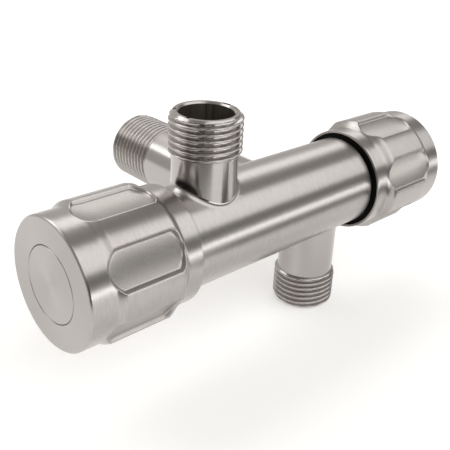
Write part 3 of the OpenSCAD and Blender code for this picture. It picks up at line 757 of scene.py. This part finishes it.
class VALVE_OT_knobs(bpy.types.Operator):
    """Builds the two scalloped knob shells and the discs in their faces"""

    bl_idname = "valve.knobs"
    bl_label = "Knobs"

    def execute(self, context):
        k = context.scene.valve_knob
        face = SHELL_HI[0] - TUBE_MIDDLE_X
        lip = SHELL_LO[0] - TUBE_MIDDLE_X
        around = repeat_tree()
        for side, matrix, turn in (("rear", REAR, k.rear_turn), ("front", FRONT, k.front_turn)):
            shell = as_object(f"{side}_knob_casting", self.sector(k, lip, face))
            grown(shell, around, {"Count": k.scoop_n, "First angle": turn, "Material": FINISHES["knob"]})
            self.coat(shell, k, face, turn)
            shell.data.transform(matrix)
            smooth(shell, 40)
            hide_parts(f"{side}_knob_shell")
            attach(shell, f"{side}_knob")
            disc = as_object(f"{side}_cap_disc", lathe("disc", self.disc(k, face), DISC_SEGMENTS), matrix)
            disc.data.materials.append(FINISHES["face"])
            smooth(disc, 30)
            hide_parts(f"{side}_knob_cap")
            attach(disc, f"{side}_knob")
        return {"FINISHED"}

    def skin(self, k, lip, face, x):
        """The shell's outside radius without its scoops: skirt, slope, ribs, slope, smooth band."""
        slope_in = lip + k.skirt_l
        slope_out = face - k.band_l
        rise_in = np.clip((x - slope_in) / k.inner_slope_l, 0, 1)
        rise_out = np.clip((slope_out - x) / k.outer_slope_l, 0, 1)
        from_skirt = k.skirt_d / 2 + (k.rib_d - k.skirt_d) / 2 * rise_in**2 * (3 - 2 * rise_in)
        from_band = k.band_d / 2 + (k.rib_d - k.band_d) / 2 * rise_out**2 * (3 - 2 * rise_out)
        return np.where(x < (slope_in + slope_out) / 2, from_skirt, from_band)

    def ends(self, k, face, angle):
        """Where a scoop starts and ends along the knob at an angle from its middle: both ends are arcs."""
        half = k.scoop_w / 2
        side = np.minimum(np.abs(k.rib_d / 2 * np.sin(angle)), half)
        outer = face - k.scoop_from_face
        inner = outer - k.scoop_l
        made = []
        for tip, rise, way in ((inner, k.scoop_inner_arc, 1), (outer, k.scoop_outer_arc, -1)):
            bend = (half**2 + rise**2) / (2 * rise)
            made.append(tip + way * (bend - np.sqrt(bend**2 - side**2)))
        return made

    def inset(self, k, face, x, angle):
        """Distance from a place inside a scoop to its outline."""
        half = k.scoop_w / 2
        side = np.abs(k.rib_d / 2 * np.sin(angle))
        outer = face - k.scoop_from_face
        inner = outer - k.scoop_l
        near = half - side
        for tip, rise, way in ((inner, k.scoop_inner_arc, 1), (outer, k.scoop_outer_arc, -1)):
            bend = (half**2 + rise**2) / (2 * rise)
            near = min(near, bend - math.hypot(max(0.0, bend - way * (x - tip)), side))
        return near

    def radius(self, k, lip, face, x, angle):
        """The shell's outside radius with the scoop that is centred on angle zero."""
        skin = float(self.skin(k, lip, face, x))
        near = self.inset(k, face, x, angle)
        if near <= -k.scoop_round:
            return skin
        climb = max(0.0, 1 - (face - k.scoop_from_face - x) / k.scoop_climb_l)
        floor = k.rib_d / 2 - k.scoop_depth + k.scoop_climb * climb * climb
        bend = k.scoop_bend
        radius = skin
        # The floor is hollow across: a few rounds settle where its arc lies at this angle
        for _ in range(4):
            side = radius * math.sin(angle)
            radius = (floor + bend - math.sqrt(bend**2 - side**2)) / math.cos(angle)
        share = min(1.0, (near + k.scoop_round) / (k.scoop_wall + k.scoop_round))
        return skin + (min(radius, skin - 0.05 * MM) - skin) * share**2 * (3 - 2 * share)

    def sector(self, k, lip, face):
        """One scoop's share of the shell: a closed profile at each of a row of angles."""
        part = math.pi / k.scoop_n
        edge = math.asin(k.scoop_w / k.rib_d)
        # Rows close together across a scoop's wall, from just outside its outline to just inside
        insets = [i * MM for i in (-0.16, -0.06, 0.06, 0.18, 0.3, 0.42, 0.54, 0.68)]
        to_angle = 2 / k.rib_d
        half = list(np.linspace(0, edge - 1.0 * MM * to_angle, 12))
        half += [edge - i * to_angle for i in reversed(insets)]
        half += list(np.linspace(edge + 0.5 * MM * to_angle, part, 9))
        angles = [-a for a in reversed(half[1:])] + half
        tail = self.tail(k, lip, face)
        points = []
        for angle in angles:
            start, end = self.ends(k, face, angle)
            along = list(np.linspace(lip + 0.5 * MM, start - 0.3 * MM, 18))
            along += [start + i for i in insets]
            along += list(np.linspace(start + 1 * MM, end - 1 * MM, 30))
            along += [end - i for i in reversed(insets)]
            along += list(np.linspace(end + 0.3 * MM, face - k.face_chamfer - 0.4 * MM, 16))
            ring = [(x, self.radius(k, lip, face, x, angle)) for x in along] + tail
            points += [(x, -r * math.sin(angle), r * math.cos(angle)) for x, r in ring]
        count = len(points) // len(angles)
        faces = []
        for i in range(len(angles) - 1):
            for j in range(count):
                a = i * count + j
                b = i * count + (j + 1) % count
                faces.append((a, a + count, b + count, b))
        mesh = bpy.data.meshes.new("sector")
        mesh.from_pydata(points, [], faces)
        return mesh

    def tail(self, k, lip, face):
        """The rest of the profile: round the face, back along the inside, and round the lip."""
        lip_r = k.skirt_d / 2
        band_r = k.band_d / 2
        inner_r = k.inner_d / 2
        hole_r = k.cap_d / 2 + 0.12 * MM
        ledge_r = k.cap_d / 2 - 1.8 * MM
        edge = 0.2 * MM
        points = [(face - k.face_chamfer - 0.1 * MM, band_r), (face - k.face_chamfer, band_r - 0.02 * MM)]
        points += [(face - 0.02 * MM, band_r - k.face_chamfer), (face, band_r - k.face_chamfer - 0.1 * MM)]
        points += [(face, r) for r in np.linspace(band_r - k.face_chamfer - 0.5 * MM, hole_r + 0.5 * MM, 8)]
        points += [(face, hole_r + 0.15 * MM), (face - 0.15 * MM, hole_r)]
        points += [(face - k.cap_t, hole_r), (face - k.cap_t, ledge_r), (face - k.face_t, ledge_r)]
        points += [(face - k.face_t, inner_r), (lip + 2 * MM, inner_r), (lip + 0.15 * MM, inner_r)]
        points += [(lip, inner_r + 0.15 * MM), (lip, lip_r - edge), (lip + edge * 0.3, lip_r - edge * 0.3)]
        points += [(lip + edge, lip_r)]
        return points

    def coat(self, shell, k, face, turn):
        """Scoop floors blasted, the flat face spun, the rest brushed."""
        mesh = shell.data
        mesh.materials.clear()
        for name in ("knob", "scoop", "face", "liner"):
            mesh.materials.append(FINISHES[name])
        scoop, spun, liner = 1, 2, 3
        inner_r = k.inner_d / 2
        count = len(mesh.polygons)
        centre = np.empty(count * 3)
        normal = np.empty(count * 3)
        mesh.polygons.foreach_get("center", centre)
        mesh.polygons.foreach_get("normal", normal)
        x, y, z = centre.reshape(-1, 3).T
        facing = normal.reshape(-1, 3)[:, 0]
        radius = np.hypot(y, z)
        step = 2 * math.pi / k.scoop_n
        angle = np.arctan2(-y, z) - turn
        angle -= np.round(angle / step) * step
        near = np.array([self.inset(k, face, *spot) for spot in zip(x, angle)])
        index = np.zeros(count, dtype=np.int32)
        index[(near > 0.3 * MM) & (radius > inner_r + 0.2 * MM)] = scoop
        index[(x > face - 0.05 * MM) & (facing > 0.9)] = spun
        index[radius < inner_r + 0.02 * MM] = liner
        index[(x > face - k.cap_t - 0.1 * MM) & (radius < inner_r)] = spun
        mesh.polygons.foreach_set("material_index", index)

    def disc(self, k, face):
        """The cap's profile: a flat disc with a small chamfer and a skirt behind it."""
        r = k.cap_d / 2 - 0.03 * MM
        edge = 0.15 * MM
        ledge = k.cap_d / 2 - 1.85 * MM
        back = face - k.face_t - 1 * MM
        points = [(face, 0)] + [(face, r * i / 8) for i in range(1, 8)]
        points += [(face, r - edge), (face - edge, r), (face - k.cap_t, r), (face - k.cap_t, ledge)]
        points += [(back, ledge), (back, ledge - 1.2 * MM), (face - k.cap_t, ledge - 1.2 * MM)]
        points += [(face - k.cap_t, 0)]
        return points


class VALVE_OT_studio(bpy.types.Operator):
    """Builds the floor, the lamps and the camera"""

    bl_idname = "valve.studio"
    bl_label = "Studio"

    def execute(self, context):
        s = context.scene.valve_studio
        az = math.radians(s.azimuth)
        el = math.radians(s.elevation)
        roll = math.radians(s.roll)
        back = Vector((math.sin(az) * math.cos(el), -math.cos(az) * math.cos(el), math.sin(el)))
        right = Vector((math.cos(az), math.sin(az), 0))
        up = back.cross(right)
        right, up = (
            right * math.cos(roll) + up * math.sin(roll),
            up * math.cos(roll) - right * math.sin(roll),
        )
        aim = Vector((TUBE_MIDDLE_X + s.aim_x, TUBE_Y, s.aim_z))
        spot = aim + back * s.distance
        data = bpy.data.cameras.new("camera")
        data.sensor_width = SENSOR_MM
        data.lens = s.focal * SENSOR_MM / FRAME_PX
        data.shift_x = (FRAME_PX / 2 - s.middle_x) / FRAME_PX
        data.shift_y = (s.middle_y - FRAME_PX / 2) / FRAME_PX
        data.clip_start = 0.01
        data.clip_end = 20
        camera = bpy.data.objects.new("camera", data)
        turn = Matrix((right, up, back)).transposed().to_4x4()
        camera.matrix_world = Matrix.Translation(spot) @ turn
        context.scene.collection.objects.link(camera)
        context.scene.camera = camera
        self.floor(s)
        self.cards()
        self.lamps(aim)
        self.world()
        context.scene.view_settings.view_transform = "Standard"
        return {"FINISHED"}

    def floor(self, s):
        """A wide plain floor just under the lower outlet. Lit, it clips to white and keeps the shadow."""
        size = 4.0
        glow = 0.3
        low = cad_box[0][2] - 0.3 * MM
        corners = [(-size, -size, low), (size, -size, low), (size, size, low), (-size, size, low)]
        mesh = bpy.data.meshes.new("floor")
        mesh.from_pydata(corners, [], [(0, 1, 2, 3)])
        floor = as_object("floor", mesh)
        # Matt paint: plain and pale, without shine. The lens and the metal see it a little brighter
        material, tree = blank_material("painted_floor")
        ray = add(tree, "ShaderNodeLightPath").outputs
        direct = add(tree, MATH, {0: ray["Is Camera Ray"], 1: ray["Is Glossy Ray"]}, operation="MAXIMUM")
        seen = add(tree, MATH, {0: direct, 1: ray["Is Transmission Ray"]}, operation="MAXIMUM")
        shader = add(tree, "ShaderNodeBsdfPrincipled", {
            "Base Color": tuple(s.floor), "Roughness": 0.9, "Specular IOR Level": 0.2,
            "Emission Color": WHITE,
            "Emission Strength": add(tree, MATH, {0: seen, 1: glow}, operation="MULTIPLY"),
        })
        add(tree, "ShaderNodeOutputMaterial", {"Surface": shader})
        mesh.materials.append(material)

    def cards(self):
        """Two dark cards that only the metal's reflections see: a low one in front of the tube, which gives
        the dark line low on its side, and one below the lens, for the dark middle of the upper outlet. Their
        ends and heights are in millimetres, from the middle of the tube and from the floor."""
        low = cad_box[0][2] - 0.2 * MM
        # Matt card: dark and without shine
        dark = finish_plain("dark_card", (0.045, 0.04, 0.035, 1.0), 0.0, 0.9, 1.0, 0.01, 0.1)
        for name, start, end, tall in (
            ("front_card", (8, -85), (250, -85), 27),
            ("lens_card", (-175, -60), (-68, -165), 75),
        ):
            high = low + tall * MM
            feet = [(TUBE_MIDDLE_X + x * MM, TUBE_Y + y * MM) for x, y in (start, end)]
            mesh = bpy.data.meshes.new(name)
            corners = [(*feet[0], low), (*feet[1], low), (*feet[1], high), (*feet[0], high)]
            mesh.from_pydata(corners, [], [(0, 1, 2, 3)])
            mesh.materials.append(dark)
            card = as_object(name, mesh)
            card.visible_camera = False
            card.visible_diffuse = False
            card.visible_shadow = False

    def lamps(self, aim):
        """Long soft boxes in line with the tube, over its front, over its back and low in front, and a small
        one behind it at the left. Each has its place from the aim, the way it lies from what it lights, its
        width and height in metres, and its glow, where 1 is as bright as white."""
        for name, place, facing, wide, high, glow in (
            ("front_top_strip", (0.3, -0.566, 0.7), (0, -0.566, 0.7), 2.4, 0.76, 1.38),
            ("back_top_strip", (0.2, 0.53, 0.73), (0, 0.53, 0.73), 2.4, 0.42, 1.5),
            ("front_low_strip", (0.4, -0.3, -0.026), (0, -1, -0.1), 1.0, 0.034, 2.9),
            ("left_strip", (-0.42, 0.62, 0.5), (-0.42, 0.62, 0.5), 0.26, 0.3, 2.4),
        ):
            data = bpy.data.lights.new(name, "AREA")
            data.shape = "RECTANGLE"
            data.size = wide
            data.size_y = high
            data.energy = glow * wide * high * math.pi
            lamp = bpy.data.objects.new(name, data)
            spot = aim + Vector(place)
            turn = (-Vector(facing)).to_track_quat("-Z", "Y").to_matrix().to_4x4()
            lamp.matrix_world = Matrix.Translation(spot) @ turn
            lamp.visible_camera = False
            bpy.context.scene.collection.objects.link(lamp)

    def world(self):
        """A plain room, pale behind the object and dim in front of it."""
        dim, pale, fall = 0.2, 0.75, 2.0
        world = bpy.data.worlds.new("room")
        bpy.context.scene.world = world
        world.use_nodes = True
        tree = world.node_tree
        tree.nodes.clear()
        way = add(tree, "ShaderNodeSeparateXYZ", {0: add(tree, "ShaderNodeTexCoord").outputs["Generated"]})
        share = add(tree, "ShaderNodeMapRange", {
            "Value": way.outputs["Y"], "From Min": -1.0, "From Max": 1.0,
        })
        curve = add(tree, MATH, {0: share, 1: fall}, operation="POWER")
        climb = add(tree, "ShaderNodeMapRange", {"Value": curve, "To Min": dim, "To Max": pale})
        room = add(tree, "ShaderNodeBackground", {"Color": (1.0, 0.96, 0.92, 1.0), "Strength": climb})
        add(tree, "ShaderNodeOutputWorld", {"Surface": room})


class VALVE_PT_panel(bpy.types.Panel):
    """Lists the valve's sizes, colours and pieces"""

    bl_label = "Angle Valve"
    bl_idname = "VALVE_PT_panel"
    bl_space_type = "VIEW_3D"
    bl_region_type = "UI"
    bl_category = "Angle Valve"

    def draw(self, context):
        for group in ("valve_casting", "valve_knob", "valve_finish", "valve_studio"):
            box = self.layout.box()
            settings = getattr(context.scene, group)
            for name in settings.__annotations__:
                box.prop(settings, name)
        for operator in OPERATORS:
            self.layout.operator(operator.bl_idname)


OPERATORS = (VALVE_OT_finishes, VALVE_OT_casting, VALVE_OT_knobs, VALVE_OT_studio)
GROUPS = {
    "valve_casting": CastingSizes,
    "valve_knob": KnobSizes,
    "valve_finish": FinishColours,
    "valve_studio": StudioSettings,
}


def register():
    for group in GROUPS.values():
        bpy.utils.register_class(group)
    for name, group in GROUPS.items():
        setattr(bpy.types.Scene, name, PointerProperty(type=group))
    for operator in OPERATORS:
        bpy.utils.register_class(operator)
    bpy.utils.register_class(VALVE_PT_panel)


def unregister():
    bpy.utils.unregister_class(VALVE_PT_panel)
    for operator in reversed(OPERATORS):
        bpy.utils.unregister_class(operator)
    for name in GROUPS:
        delattr(bpy.types.Scene, name)
    for group in reversed(list(GROUPS.values())):
        bpy.utils.unregister_class(group)


def main():
    register()
    bpy.ops.valve.finishes()
    bpy.ops.valve.casting()
    bpy.ops.valve.knobs()
    bpy.ops.valve.studio()


if __name__ == "__main__":
    main()
